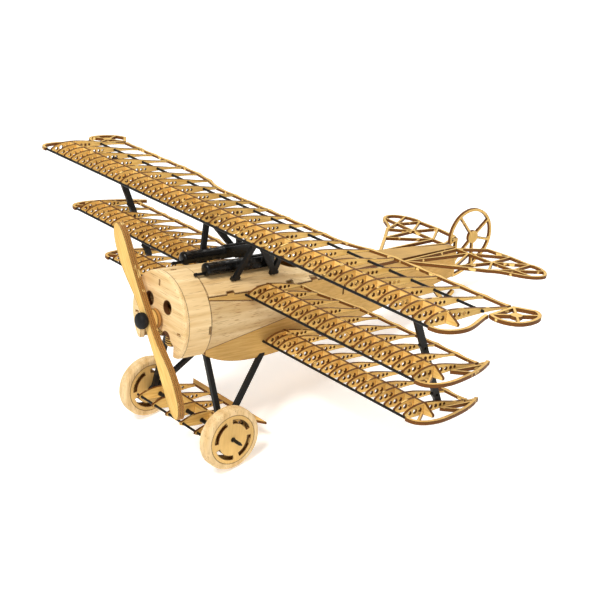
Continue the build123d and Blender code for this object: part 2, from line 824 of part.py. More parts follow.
axle_end_radius = 1.05
axle_shoulder = wheel_x + tyre_width / 2 + 0.6
axle_end_length = 6.0
axle_point = 2.2            # length of the pointed end
with BuildPart() as axle:
    with BuildSketch(side(-axle_shoulder)):
        with Locations((wheel_y, wheel_z)):
            Circle(axle_radius)
    extrude(amount=2 * axle_shoulder)
    with BuildSketch(side(-axle_shoulder - axle_end_length)):
        with Locations((wheel_y, wheel_z)):
            Circle(axle_end_radius)
    extrude(amount=2 * (axle_shoulder + axle_end_length))
    for hand in (1, -1):
        end = hand * (axle_shoulder + axle_end_length)
        with BuildSketch(side(end)):
            with Locations((wheel_y, wheel_z)):
                Circle(axle_end_radius)
        with BuildSketch(side(end + hand * axle_point)):
            with Locations((wheel_y, wheel_z)):
                Circle(axle_end_radius / 4)
        loft()
save(axle, "axle")

disc_radius = 15.0
disc_sheet = 1.6
bush_radius = 3.0
tyre_corner = 2.4
slot_radius = 11.3
slot_width = 2.4
slot_start = 26
slot_turn = 68
for name, hand in (("left", 1), ("right", -1)):
    inner_face = hand * wheel_x - tyre_width / 2
    with BuildPart() as tyre:
        with BuildSketch(side(inner_face)):
            with Locations((wheel_y, wheel_z)):
                Circle(wheel_radius)
        extrude(amount=tyre_width)
        fillet(tyre.edges(), tyre_corner)
        with BuildSketch(side(inner_face)):
            with Locations((wheel_y, wheel_z)):
                Circle(disc_radius + fit_gap)
        extrude(amount=tyre_width, mode=Mode.SUBTRACT)
    save(tyre, f"tyre_{name}")

    with BuildPart() as wheel_discs:
        for face in (inner_face, inner_face + tyre_width - disc_sheet):
            with BuildSketch(side(face)):
                with Locations((wheel_y, wheel_z)):
                    Circle(disc_radius)
                    Circle(axle_radius + run_gap, mode=Mode.SUBTRACT)
                for quarter in range(4):
                    with BuildLine():
                        CenterArc((wheel_y, wheel_z), slot_radius, slot_start + 90 * quarter, slot_turn)
                    trace(line_width=slot_width, mode=Mode.SUBTRACT)
            extrude(amount=disc_sheet)
        with BuildSketch(side(inner_face + disc_sheet + fit_gap)):
            with Locations((wheel_y, wheel_z)):
                Circle(bush_radius)
                Circle(axle_radius + run_gap, mode=Mode.SUBTRACT)
        extrude(amount=tyre_width - 2 * disc_sheet - 2 * fit_gap)
    save(wheel_discs, f"wheel_discs_{name}")

# ---------------------------------------------------------------- wing on the axle
axle_le = (11.0, -62.3)
axle_chord = 44.0
axle_rib_x = (-30.0, -15.0, 0.0, 15.0, 30.0)
axle_web_back = 19.0
axle_lap_level = 1.0
axle_rod_end = 33.6
with BuildPart() as axle_wing_ribs:
    for x in axle_rib_x:
        start = point(x - sheet / 2, axle_le[0], axle_le[1])
        with BuildSketch(Plane(origin=start, x_dir=aft, z_dir=(1, 0, 0))):
            with BuildLine():
                Line((-1.9, -0.6), (-1.9, 0.6))
                Spline((-1.9, 0.6), (5.0, 3.4), (14.0, 4.4), (27.0, 3.0), (39.2, 0.8))
                Line((39.2, 0.8), (39.2, -0.8))
                Spline((39.2, -0.8), (14.0, -3.0), (5.0, -2.6), (-1.9, -0.6))
            make_face()
            Circle(rod_radius + fit_gap, mode=Mode.SUBTRACT)
            with Locations((wheel_y - axle_le[0], wheel_z - axle_le[1])):
                Circle(axle_radius + fit_gap, mode=Mode.SUBTRACT)
            for back, radius in ((23.0, 1.2), (26.6, 1.0), (29.8, 0.8)):
                with Locations((back, 0.6)):
                    Circle(radius, mode=Mode.SUBTRACT)
            with Locations((axle_web_back, axle_lap_level - cutter / 2)):
                Rectangle(lap_width, cutter, mode=Mode.SUBTRACT)
        extrude(amount=sheet)
save(axle_wing_ribs, "axle_wing_ribs")

axle_web_start = point(0, axle_le[0] + axle_web_back + sheet / 2, axle_le[1])
with BuildPart() as axle_wing_spar:
    with BuildSketch(Plane(origin=axle_web_start, x_dir=(1, 0, 0), z_dir=aft * -1)):
        with Locations((0, 0.7)):
            Rectangle(66.0, 6.2)
        for x in axle_rib_x:
            with Locations((x, axle_lap_level - fit_gap + cutter / 2)):
                Rectangle(lap_width, cutter, mode=Mode.SUBTRACT)
    extrude(amount=sheet)
save(axle_wing_spar, "axle_wing_spar")

with BuildPart() as axle_wing_leading_rod:
    with BuildSketch(side(-axle_rod_end)):
        with Locations(axle_le):
            Circle(rod_radius)
    extrude(amount=2 * axle_rod_end)
save(axle_wing_leading_rod, "axle_wing_leading_rod")

with BuildPart() as axle_wing_trailing_strip:
    with BuildSketch(level(axle_le[1] - sheet / 2)):
        with BuildLine():
            back = axle_le[0] + axle_chord
            Polyline((-32, back - 4.7), (32, back - 4.7), (38.6, back), (-38.6, back), close=True)
        make_face()
    extrude(amount=sheet)
save(axle_wing_trailing_strip, "axle_wing_trailing_strip")

# ---------------------------------------------------------------- tail
hinge_y = 229.4
tail_bar = 1.5
for name, hand in (("left", 1), ("right", -1)):
    apex = (hand * 11.8, 178.0)
    root_node = (hand * 6.0, hinge_y)
    inner_node = (hand * 17.0, hinge_y)
    middle_node = (hand * 38.0, hinge_y + 1.0)
    outer_node = (hand * 56.0, hinge_y + 2.0)
    hinge_tip = (hand * 69.5, hinge_y + 3.6)
    edge_near = (hand * 33.7, 201.0)
    edge_far = (hand * 49.0, 216.6)
    tail_root = (hand * 16.0, 248.6)
    tail_middle = (hand * 35.0, 250.4)
    tail_outer = (hand * 53.0, 250.0)
    bars = [
        (apex, root_node),
        (apex, inner_node),
        (root_node, inner_node),
        (inner_node, middle_node),
        (middle_node, hinge_tip),
        (edge_near, inner_node),
        (edge_near, middle_node),
        (edge_far, middle_node),
        (edge_far, outer_node),
        (root_node, tail_root),
        (inner_node, tail_middle),
        (middle_node, tail_middle),
        (middle_node, tail_outer),
        (outer_node, tail_outer),
        (outer_node, (hand * 66.0, 247.4)),
    ]
    with BuildPart() as tailplane:
        with BuildSketch(level(seam_z_stern + 2 * fit_gap)):
            for start, end in bars:
                slat(start, end, tail_bar)
            with BuildLine():
                Line(apex, edge_near)
                Line(edge_near, edge_far)
                Spline(
                    edge_far,
                    (hand * 61.5, 226.4),
                    (hand * 71.6, 234.2),
                    (hand * 73.4, 240.6),
                    (hand * 69.0, 247.0),
                    tail_outer,
                )
                Line(tail_outer, tail_middle)
                Line(tail_middle, tail_root)
            trace(line_width=frame_bar)
        extrude(amount=plate)
    save(tailplane, f"tailplane_{name}")

rudder_centre = (246.4, 19.4)
rudder_ring = 18.1
rudder_rim = 1.9
gusset = (248.6, 18.6)
post_y = 233.6
post_foot_z = -6.6
with BuildPart() as rudder:
    with BuildSketch(side(-plate / 2)):
        with BuildLine() as rim:
            CenterArc(rudder_centre, rudder_ring, 190, -224)
        trace(line_width=rudder_rim)
        rim_start = rim.line @ 0
        rim_end = rim.line @ 1
        with BuildLine():
            ThreePointArc((rim_end.X, rim_end.Y), (251.0, 0.4), (post_y, post_foot_z))
        trace(line_width=rudder_rim)
        slat((rim_start.X, rim_start.Y), (post_y, 19.0), tail_bar)
        slat((post_y, 19.0), (post_y, post_foot_z), rudder_rim)
        for turn in (128, 34, -14):
            far = (
                rudder_centre[0] + rudder_ring * cos(radians(turn)),
                rudder_centre[1] + rudder_ring * sin(radians(turn)),
            )
            slat(gusset, far, truss_bar)
        slat(gusset, (post_y, 3.6), truss_bar)
        slat(gusset, (249.6, 0.6), truss_bar)
        with Locations(gusset):
            Circle(4.4)
    extrude(amount=plate)
save(rudder, "rudder")

with BuildPart() as tail_skid:
    with BuildSketch(side(-plate / 2)):
        slat((214.0, -9.6), (skid_y, skid_z), 2 * skid_round)
        slat((skid_y, skid_z), (235.6, -18.4), 2 * skid_round)
    extrude(amount=plate)
save(tail_skid, "tail_skid")
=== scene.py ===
# %% [markdown]
# # A wooden three-wing aeroplane on a pale floor
# The aeroplane is a kit of thin cut sheets and black rods. Its frame comes ready from the packed
# model: every rib, web, rod and plank is already an object here, at its real size in metres.
# We could model all of it again, but the sheets are flat and exact, so we keep them and spend
# our time on finishes, and on the pieces that a carver or a turner would make.

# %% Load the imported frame
import json
from math import cos, pi, radians, sin

import bmesh
import bpy
from mathutils import Matrix, Vector


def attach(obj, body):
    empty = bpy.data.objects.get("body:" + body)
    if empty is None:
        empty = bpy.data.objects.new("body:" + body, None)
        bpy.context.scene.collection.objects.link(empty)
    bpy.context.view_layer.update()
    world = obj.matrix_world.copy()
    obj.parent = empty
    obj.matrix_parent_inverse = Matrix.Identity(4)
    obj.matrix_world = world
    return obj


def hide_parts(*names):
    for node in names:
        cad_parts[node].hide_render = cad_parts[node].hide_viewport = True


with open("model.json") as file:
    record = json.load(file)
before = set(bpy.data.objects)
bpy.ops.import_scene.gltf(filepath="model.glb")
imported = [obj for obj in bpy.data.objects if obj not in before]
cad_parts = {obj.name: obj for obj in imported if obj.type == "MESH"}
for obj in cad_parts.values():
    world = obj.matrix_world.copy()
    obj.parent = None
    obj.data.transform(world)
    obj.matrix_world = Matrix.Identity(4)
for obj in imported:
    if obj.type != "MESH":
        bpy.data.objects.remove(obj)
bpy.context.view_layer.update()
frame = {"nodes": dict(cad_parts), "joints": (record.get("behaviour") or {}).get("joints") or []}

print("sheets, rods and planks:", len(frame["nodes"]))

# %% [markdown]
# ## The level aeroplane
# The model stands nose-up on its wheels and its tail skid, which makes sizes awkward to read. A
# builder lays the fuselage level on the bench instead. We do the same: pieces are modelled level,
# from the middle of the cowl face, with x to the left wing, y aft and z up, and are tipped into
# place at the end. The propeller's own axis tells us how far the model leans, so nothing is
# measured twice.

# %% Find the lean from the propeller's axis
mm = 0.001
propeller_axis = next(joint for joint in frame["joints"] if joint["name"] == "propeller_spin")
cowl_middle = Vector(propeller_axis["pos_m"])
aft = Vector(propeller_axis["axis"]).normalized()
span = Vector((1, 0, 0))
up = span.cross(aft)
lean = Matrix((span, aft, up)).transposed().to_4x4()
bench_to_stance = Matrix.Translation(cowl_middle) @ lean
lean_angle = aft.angle(Vector((0, 1, 0)))
print("the fuselage leans back by", round(lean_angle * 180 / pi, 1), "degrees")

# %% [markdown]
# ## Camera and light
# A kit shows best from a little above, in front and to one side, where the ribs of all three wings
# can be told apart. A wide lens from close by would spread the near wing tips, so we stand back and
# use a long lens, which keeps the wings nearly parallel. The camera's place is worked out from two
# angles and a distance, and then rolled a little about its own line of sight.

# %% Camera
view_azimuth = radians(55.96)
view_elevation = radians(28.31)
view_roll = radians(-8.86)
view_distance = 0.9456
view_aim = Vector((-0.0051, -0.0173, 0.0499))

camera_data = bpy.data.cameras.new("camera")
camera_data.lens = 91.3
camera_data.sensor_width = 36.0
camera = bpy.data.objects.new("camera", camera_data)
bpy.context.scene.collection.objects.link(camera)
towards_camera = Vector((
    sin(view_azimuth) * cos(view_elevation),
    -cos(view_azimuth) * cos(view_elevation),
    sin(view_elevation),
))
look = towards_camera.to_track_quat("Z", "Y").to_matrix().to_4x4()
place = Matrix.Translation(view_aim + towards_camera * view_distance)
camera.matrix_world = place @ look @ Matrix.Rotation(view_roll, 4, "Z")
bpy.context.scene.camera = camera
print("camera at", [round(value, 3) for value in camera.matrix_world.translation])

# %% [markdown]
# The aeroplane stands in a bright white studio. Small lamps would throw a hard shadow from each of
# the many ribs, so the lights are large and soft: a warm key from the front, a weak fill, and one
# behind that draws the rods' outlines. A plain plane is enough for the floor. A little emission
# keeps it pale under the wings.


# %% Soft boxes, sky and floor
def soft_box(name, place, aim, size, watts, colour):
    """A square lamp that faces its aim."""
    lamp = bpy.data.lights.new(name, "AREA")
    lamp.energy = watts
    lamp.size = size
    lamp.color = colour
    lamp_object = bpy.data.objects.new(name, lamp)
    facing = (Vector(place) - Vector(aim)).to_track_quat("Z", "Y").to_matrix().to_4x4()
    lamp_object.matrix_world = Matrix.Translation(place) @ facing
    bpy.context.scene.collection.objects.link(lamp_object)


lamp_aim = (0, 0, 0.06)
soft_box("key_light", (0.3, -0.75, 1.55), lamp_aim, 0.55, 27.0, (1.0, 0.97, 0.92))
soft_box("fill_light", (1.7, -0.4, 0.75), lamp_aim, 1.0, 3.0, (1.0, 0.98, 0.95))
soft_box("back_light", (-0.6, 1.3, 1.0), lamp_aim, 0.8, 8.0, (1.0, 1.0, 1.0))

world = bpy.data.worlds.new("pale_room")
bpy.context.scene.world = world
world.use_nodes = True
sky = world.node_tree.nodes["Background"]
sky.inputs["Color"].default_value = (1.0, 1.0, 1.0, 1.0)
sky.inputs["Strength"].default_value = 0.38
bpy.context.scene.view_settings.view_transform = "Standard"

floor_size = 12.0
floor_gap = 0.0004      # keeps the floor clear of the tyres
bpy.ops.mesh.primitive_plane_add(size=floor_size, location=(0, 0, -floor_gap))
floor = bpy.context.object
floor.name = "floor"
floor_paint = bpy.data.materials.new("floor_paint")
floor_paint.use_nodes = True
paint = floor_paint.node_tree.nodes["Principled BSDF"]
paint.inputs["Base Color"].default_value = (0.93, 0.93, 0.92, 1)
paint.inputs["Roughness"].default_value = 0.9
paint.inputs["Emission Color"].default_value = (1, 1, 1, 1)
paint.inputs["Emission Strength"].default_value = 0.4
floor.data.materials.append(floor_paint)
print("lights and floor are in place")

# %% [markdown]
# ## Cut sheet wood
# Most pieces are cut from thin golden sheet by a hot beam. Three things tell the eye so: the face
# has a fine straight grain, the cut walls are burnt dark brown with paler nicks where the sheet was
# left uncut, and the heat browns a thin line round each hole and edge. We could paint each sheet by
# hand, but the same rule holds for all of them. A bevel node finds the edges, and the surface
# direction tells a cut wall from a face.


# %% Cut sheet finish
burnt_wall = (0.15, 0.054, 0.009)
char = (0.040, 0.012, 0.003)


def lay_out(rows, left, top):
    """Place the nodes of a finish in rows, so that the tree can be read from left to right."""
    for row, members in enumerate(rows):
        for column, node in enumerate(members):
            node.location = (left + column * 220, top - row * 330)


def cut_sheet(name, pale, deep, face_axis, along, scorch, wall=burnt_wall, turn=0.0):
    """Burnt-edged sheet: face_axis is square to it, along is the grain's axis, and turn slants that."""
    material = bpy.data.materials.new(name)
    material.use_nodes = True
    tree = material.node_tree
    nodes, links = tree.nodes, tree.links
    nodes.clear()

    grain_frame = nodes.new("NodeFrame")
    grain_frame.label = "Grain"
    scorch_frame = nodes.new("NodeFrame")
    scorch_frame.label = "Scorched edges and cut walls"
    finish_frame = nodes.new("NodeFrame")
    finish_frame.label = "Surface"

    coords = nodes.new("ShaderNodeTexCoord")
    coords.label = "Place on the sheet"
    level = nodes.new("ShaderNodeMapping")
    level.label = "Turn level"
    level.inputs["Rotation"].default_value = (lean_angle, turn, 0)
    stretch = nodes.new("ShaderNodeMapping")
    stretch.label = "Stretch along the grain"
    stretch.inputs["Scale"].default_value = [60.0 if axis in along else 1100.0 for axis in "xyz"]
    streaks = nodes.new("ShaderNodeTexNoise")
    streaks.label = "Fine grain"
    streaks.inputs["Scale"].default_value = 1.0
    streaks.inputs["Detail"].default_value = 5.0
    streaks.inputs["Roughness"].default_value = 0.62
    tone = nodes.new("ShaderNodeValToRGB")
    tone.label = "Pale and deep grain"
    tone.color_ramp.elements[0].position = 0.34
    tone.color_ramp.elements[0].color = (*deep, 1)
    tone.color_ramp.elements[1].position = 0.66
    tone.color_ramp.elements[1].color = (*pale, 1)
    boards = nodes.new("ShaderNodeTexNoise")
    boards.label = "Tone from sheet to sheet"
    boards.inputs["Scale"].default_value = 45.0
    boards.inputs["Detail"].default_value = 1.5
    board_range = nodes.new("ShaderNodeMapRange")
    board_range.label = "Keep the change small"
    board_range.inputs["From Min"].default_value = 0.3
    board_range.inputs["From Max"].default_value = 0.7
    board_range.inputs["To Min"].default_value = 0.86
    board_range.inputs["To Max"].default_value = 1.08
    toned = nodes.new("ShaderNodeVectorMath")
    toned.label = "Shade the grain"
    toned.operation = "SCALE"
    for node in (level, stretch, streaks, tone, boards, board_range, toned):
        node.parent = grain_frame

    rounded = nodes.new("ShaderNodeBevel")
    rounded.label = "Where an edge is near"
    rounded.samples = 6
    rounded.inputs["Radius"].default_value = scorch
    flat = nodes.new("ShaderNodeNewGeometry")
    flat.label = "True direction"
    nearness = nodes.new("ShaderNodeVectorMath")
    nearness.label = "Compare the two"
    nearness.operation = "DOT_PRODUCT"
    rim = nodes.new("ShaderNodeMapRange")
    rim.label = "Scorched line"
    rim.interpolation_type = "SMOOTHSTEP"
    rim.inputs["From Min"].default_value = 0.998
    rim.inputs["From Max"].default_value = 0.93
    rim.inputs["To Max"].default_value = 0.92
    facing = nodes.new("ShaderNodeVectorMath")
    facing.label = "Face or cut wall"
    facing.operation = "DOT_PRODUCT"
    facing.inputs[1].default_value = face_axis
    flip = nodes.new("ShaderNodeMath")
    flip.label = "Both sides alike"
    flip.operation = "ABSOLUTE"
    cut = nodes.new("ShaderNodeMapRange")
    cut.label = "Cut wall"
    cut.inputs["From Min"].default_value = 0.60
    cut.inputs["From Max"].default_value = 0.45
    nicks = nodes.new("ShaderNodeTexNoise")
    nicks.label = "Where the cut stopped"
    nicks.inputs["Scale"].default_value = 170.0
    nicks.inputs["Detail"].default_value = 1.0
    nick_range = nodes.new("ShaderNodeMapRange")
    nick_range.label = "Few pale nicks"
    nick_range.inputs["From Min"].default_value = 0.63
    nick_range.inputs["From Max"].default_value = 0.68
    wall_tone = nodes.new("ShaderNodeMix")
    wall_tone.label = "Burnt wall, pale nick"
    wall_tone.data_type = "RGBA"
    wall_tone.inputs["A"].default_value = (*wall, 1)
    wall_tone.inputs["B"].default_value = (*pale, 1)
    walled = nodes.new("ShaderNodeMix")
    walled.label = "Face or wall colour"
    walled.data_type = "RGBA"
    burn = nodes.new("ShaderNodeMix")
    burn.label = "Scorch the edge"
    burn.data_type = "RGBA"
    burn.inputs["B"].default_value = (*char, 1)
    edge_nodes = (rounded, flat, nearness, rim, burn)
    wall_nodes = (facing, flip, cut, nicks, nick_range, wall_tone, walled)
    for node in edge_nodes + wall_nodes:
        node.parent = scorch_frame

    rough = nodes.new("ShaderNodeMapRange")
    rough.label = "Grain changes the sheen"
    rough.inputs["To Min"].default_value = 0.42
    rough.inputs["To Max"].default_value = 0.66
    bump = nodes.new("ShaderNodeBump")
    bump.label = "Open grain"
    bump.inputs["Strength"].default_value = 0.25
    bump.inputs["Distance"].default_value = 0.00015
    shader = nodes.new("ShaderNodeBsdfPrincipled")
    shader.label = "Bare sheet wood"
    shader.inputs["Specular IOR Level"].default_value = 0.15
    output = nodes.new("ShaderNodeOutputMaterial")
    for node in (rough, bump, shader, output):
        node.parent = finish_frame

    links.new(coords.outputs["Object"], level.inputs["Vector"])
    links.new(level.outputs["Vector"], stretch.inputs["Vector"])
    links.new(stretch.outputs["Vector"], streaks.inputs["Vector"])
    links.new(streaks.outputs["Fac"], tone.inputs["Fac"])
    links.new(coords.outputs["Object"], boards.inputs["Vector"])
    links.new(boards.outputs["Fac"], board_range.inputs["Value"])
    links.new(tone.outputs["Color"], toned.inputs[0])
    links.new(board_range.outputs["Result"], toned.inputs["Scale"])
    links.new(rounded.outputs["Normal"], nearness.inputs[0])
    links.new(flat.outputs["Normal"], nearness.inputs[1])
    links.new(nearness.outputs["Value"], rim.inputs["Value"])
    links.new(coords.outputs["Normal"], facing.inputs[0])
    links.new(facing.outputs["Value"], flip.inputs[0])
    links.new(flip.outputs["Value"], cut.inputs["Value"])
    links.new(coords.outputs["Object"], nicks.inputs["Vector"])
    links.new(nicks.outputs["Fac"], nick_range.inputs["Value"])
    links.new(nick_range.outputs["Result"], wall_tone.inputs["Factor"])
    links.new(toned.outputs["Vector"], walled.inputs["A"])
    links.new(wall_tone.outputs["Result"], walled.inputs["B"])
    links.new(cut.outputs["Result"], walled.inputs["Factor"])
    links.new(walled.outputs["Result"], burn.inputs["A"])
    links.new(rim.outputs["Result"], burn.inputs["Factor"])
    links.new(burn.outputs["Result"], shader.inputs["Base Color"])
    links.new(streaks.outputs["Fac"], rough.inputs["Value"])
    links.new(rough.outputs["Result"], shader.inputs["Roughness"])
    links.new(streaks.outputs["Fac"], bump.inputs["Height"])
    links.new(bump.outputs["Normal"], shader.inputs["Normal"])
    links.new(shader.outputs["BSDF"], output.inputs["Surface"])

    lay_out((
        (coords, level, stretch, streaks, tone, toned),
        (boards, board_range, burn, shader, output),
        (rounded, flat, nearness, rim, wall_tone, walled),
        (facing, flip, cut, nicks, nick_range),
        (rough, bump),
    ), -900, 500)
    return material


print("the cut sheet finish is ready to be mixed")

# %% [markdown]
# They differ in tone, in which way they are cut and in which way their grain runs: a rib's grain
# runs aft, a spar web's along the span. The propeller is sanded after cutting, so its walls are
# paler, and its grain follows the blade, which is parked at a slant.

golden = (0.88, 0.60, 0.21)
amber = (0.68, 0.39, 0.09)
honey = (0.66, 0.41, 0.135)
tan = (0.52, 0.30, 0.080)
wheel_honey = (0.72, 0.47, 0.17)
wheel_tan = (0.64, 0.40, 0.13)
sanded_wall = (0.44, 0.21, 0.055)
parked_angle = radians(37.4)    # how far the blades lean from upright
rib_sheet = cut_sheet("rib_sheet", golden, amber, span, "y", 0.00045)
web_sheet = cut_sheet("web_sheet", golden, amber, aft, "x", 0.00042)
outline_sheet = cut_sheet("outline_sheet", golden, amber, up, "x", 0.00045)
tail_sheet = cut_sheet("tail_sheet", golden, amber, up, "y", 0.00042)
rudder_sheet = cut_sheet("rudder_sheet", golden, amber, span, "z", 0.00042)
side_sheet = cut_sheet("side_sheet", honey, tan, span, "y", 0.00040)
board_sheet = cut_sheet("board_sheet", honey, tan, up, "y", 0.00040)
former_sheet = cut_sheet("former_sheet", honey, tan, aft, "x", 0.00040)
wheel_sheet = cut_sheet("wheel_sheet", wheel_honey, wheel_tan, span, "z", 0.00070)
engine_sheet = cut_sheet("engine_sheet", golden, amber, aft, "x", 0.00035)
blade_sheet = cut_sheet("blade_sheet", golden, amber, aft, "z", 0.0012, sanded_wall, parked_angle)
print("cut sheet finishes:", [m.name for m in bpy.data.materials if m.name.endswith("_sheet")])

# %% [markdown]
# ## Dress the sheets
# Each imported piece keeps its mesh, and only its material changes.


# %% Give the cut pieces their finish
def dress(material, *names):
    """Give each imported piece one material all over."""
    for name in names:
        node = frame["nodes"][name]
        node.data.materials.clear()
        node.data.materials.append(material)


short_wings = ("middle", "lower")
dress(rib_sheet, "upper_wing_ribs", "upper_wing_riblets", "axle_wing_ribs")
dress(rib_sheet, *[f"{wing}_wing_ribs" for wing in short_wings])
dress(rib_sheet, *[f"{wing}_wing_riblets" for wing in short_wings])
dress(web_sheet, "upper_wing_spar", "axle_wing_spar")
dress(web_sheet, *[f"{wing}_wing_spars" for wing in short_wings])
dress(outline_sheet, "upper_wing_trailing_strip", "upper_wing_tips")
dress(outline_sheet, *[f"{wing}_wing_trailing_strips" for wing in short_wings])
dress(outline_sheet, *[f"{wing}_wing_tips" for wing in short_wings])
dress(outline_sheet, "aileron_horns", "axle_wing_trailing_strip")
dress(tail_sheet, "tailplane_left", "tailplane_right")
dress(rudder_sheet, "rudder", "tail_skid")
dress(side_sheet, "fuselage_side_left", "fuselage_side_right")
dress(board_sheet, "belly_board", "rear_deck")
dress(former_sheet, "fuselage_formers", "firewall")
dress(wheel_sheet, "wheel_discs_left", "wheel_discs_right")
dress(engine_sheet, "engine_crankcase", "engine_cylinders")
dress(blade_sheet, "propeller_hub_disc")
print("dressed in cut sheet")

# %% [markdown]
# ## Pale balsa
# The cowl, the cheeks, the deck and the tyres are balsa, a light wood that sands to a cream surface
# with short dark pores along the grain. It is softer and paler than the cut sheet, so it gets its
# own finish: long faint bands, and small stretched flecks on top.


# %% Balsa finish
def balsa(name, along, scorch, depth=1.0):
    """Sanded balsa: the grain runs along one level axis, and depth below 1 is a darker plank."""
    material = bpy.data.materials.new(name)
    material.use_nodes = True
    tree = material.node_tree
    nodes, links = tree.nodes, tree.links
    nodes.clear()

    grain_frame = nodes.new("NodeFrame")
    grain_frame.label = "Bands and pores"
    edge_frame = nodes.new("NodeFrame")
    edge_frame.label = "Browned edges"
    finish_frame = nodes.new("NodeFrame")
    finish_frame.label = "Surface"

    coords = nodes.new("ShaderNodeTexCoord")
    coords.label = "Place on the wood"
    level = nodes.new("ShaderNodeMapping")
    level.label = "Turn level"
    level.inputs["Rotation"].default_value = (lean_angle, 0, 0)
    band_stretch = nodes.new("ShaderNodeMapping")
    band_stretch.label = "Long bands"
    band_stretch.inputs["Scale"].default_value = [16.0 if axis == along else 260.0 for axis in "xyz"]
    bands = nodes.new("ShaderNodeTexNoise")
    bands.label = "Growth bands"
    bands.inputs["Scale"].default_value = 1.0
    bands.inputs["Detail"].default_value = 4.0
    band_tone = nodes.new("ShaderNodeValToRGB")
    band_tone.label = "Cream and straw"
    band_tone.color_ramp.elements[0].position = 0.30
    band_tone.color_ramp.elements[0].color = (0.64 * depth, 0.42 * depth, 0.18 * depth, 1)
    band_tone.color_ramp.elements[1].position = 0.70
    band_tone.color_ramp.elements[1].color = (0.86 * depth, 0.66 * depth, 0.37 * depth, 1)
    pore_stretch = nodes.new("ShaderNodeMapping")
    pore_stretch.label = "Short pores"
    pore_stretch.inputs["Scale"].default_value = [75.0 if axis == along else 2400.0 for axis in "xyz"]
    pores = nodes.new("ShaderNodeTexNoise")
    pores.label = "Pores"
    pores.inputs["Scale"].default_value = 1.0
    pores.inputs["Detail"].default_value = 2.0
    pore_range = nodes.new("ShaderNodeMapRange")
    pore_range.label = "Only the deepest show"
    pore_range.inputs["From Min"].default_value = 0.42
    pore_range.inputs["From Max"].default_value = 0.30
    pore_range.inputs["To Max"].default_value = 0.7
    flecked = nodes.new("ShaderNodeMix")
    flecked.label = "Fleck the bands"
    flecked.data_type = "RGBA"
    flecked.inputs["B"].default_value = (0.27, 0.125, 0.035, 1)
    for node in (level, band_stretch, bands, band_tone, pore_stretch, pores, pore_range, flecked):
        node.parent = grain_frame

    rounded = nodes.new("ShaderNodeBevel")
    rounded.label = "Where an edge is near"
    rounded.samples = 6
    rounded.inputs["Radius"].default_value = scorch
    flat = nodes.new("ShaderNodeNewGeometry")
    flat.label = "True direction"
    nearness = nodes.new("ShaderNodeVectorMath")
    nearness.label = "Compare the two"
    nearness.operation = "DOT_PRODUCT"
    rim = nodes.new("ShaderNodeMapRange")
    rim.label = "Thin brown line"
    rim.interpolation_type = "SMOOTHSTEP"
    rim.inputs["From Min"].default_value = 0.996
    rim.inputs["From Max"].default_value = 0.93
    rim.inputs["To Max"].default_value = 0.88
    edged = nodes.new("ShaderNodeMix")
    edged.label = "Brown the edge"
    edged.data_type = "RGBA"
    edged.inputs["B"].default_value = (0.09, 0.032, 0.009, 1)
    for node in (rounded, flat, nearness, rim, edged):
        node.parent = edge_frame

    bump = nodes.new("ShaderNodeBump")
    bump.label = "Pores are pits"
    bump.invert = True
    bump.inputs["Strength"].default_value = 0.35
    bump.inputs["Distance"].default_value = 0.0002
    rough = nodes.new("ShaderNodeMapRange")
    rough.label = "Sanded bands shine a little"
    rough.inputs["To Min"].default_value = 0.55
    rough.inputs["To Max"].default_value = 0.60
    shader = nodes.new("ShaderNodeBsdfPrincipled")
    shader.label = "Sanded balsa"
    shader.inputs["Specular IOR Level"].default_value = 0.2
    output = nodes.new("ShaderNodeOutputMaterial")
    for node in (bump, rough, shader, output):
        node.parent = finish_frame

    links.new(coords.outputs["Object"], level.inputs["Vector"])
    links.new(level.outputs["Vector"], band_stretch.inputs["Vector"])
    links.new(band_stretch.outputs["Vector"], bands.inputs["Vector"])
    links.new(bands.outputs["Fac"], band_tone.inputs["Fac"])
    links.new(level.outputs["Vector"], pore_stretch.inputs["Vector"])
    links.new(pore_stretch.outputs["Vector"], pores.inputs["Vector"])
    links.new(pores.outputs["Fac"], pore_range.inputs["Value"])
    links.new(band_tone.outputs["Color"], flecked.inputs["A"])
    links.new(pore_range.outputs["Result"], flecked.inputs["Factor"])
    links.new(rounded.outputs["Normal"], nearness.inputs[0])
    links.new(flat.outputs["Normal"], nearness.inputs[1])
    links.new(nearness.outputs["Value"], rim.inputs["Value"])
    links.new(flecked.outputs["Result"], edged.inputs["A"])
    links.new(rim.outputs["Result"], edged.inputs["Factor"])
    links.new(edged.outputs["Result"], shader.inputs["Base Color"])
    links.new(pore_range.outputs["Result"], bump.inputs["Height"])
    links.new(bump.outputs["Normal"], shader.inputs["Normal"])
    links.new(bands.outputs["Fac"], rough.inputs["Value"])
    links.new(rough.outputs["Result"], shader.inputs["Roughness"])
    links.new(shader.outputs["BSDF"], output.inputs["Surface"])

    lay_out((
        (coords, level, band_stretch, bands, band_tone, flecked),
        (pore_stretch, pores, pore_range, edged),
        (rounded, flat, nearness, rim),
        (rough, bump, shader, output),
    ), -900, 500)
    return material


print("the balsa finish is ready to be mixed")

# %% [markdown]
# The planks differ by where their grain runs. The deck, the cheeks and the cowl's bent band run
# fore and aft, the cowl's face runs across, and the tyres run upright. The cheeks are a darker
# plank, and the tyres a slightly darker one.

# %% Dress the balsa pieces
long_balsa = balsa("long_balsa", "y", 0.0011)
band_balsa = balsa("band_balsa", "y", 0.00060)
cheek_balsa = balsa("cheek_balsa", "y", 0.0010, depth=0.82)
cross_balsa = balsa("cross_balsa", "x", 0.00060)
tyre_balsa = balsa("tyre_balsa", "z", 0.00060, depth=0.94)
dress(long_balsa, "front_deck")
dress(band_balsa, "cowl_band")
dress(cheek_balsa, "cheek_left", "cheek_right")
dress(cross_balsa, "cowl_face")
dress(tyre_balsa, "tyre_left", "tyre_right")
print("balsa finishes:", [m.name for m in bpy.data.materials if m.name.endswith("_balsa")])

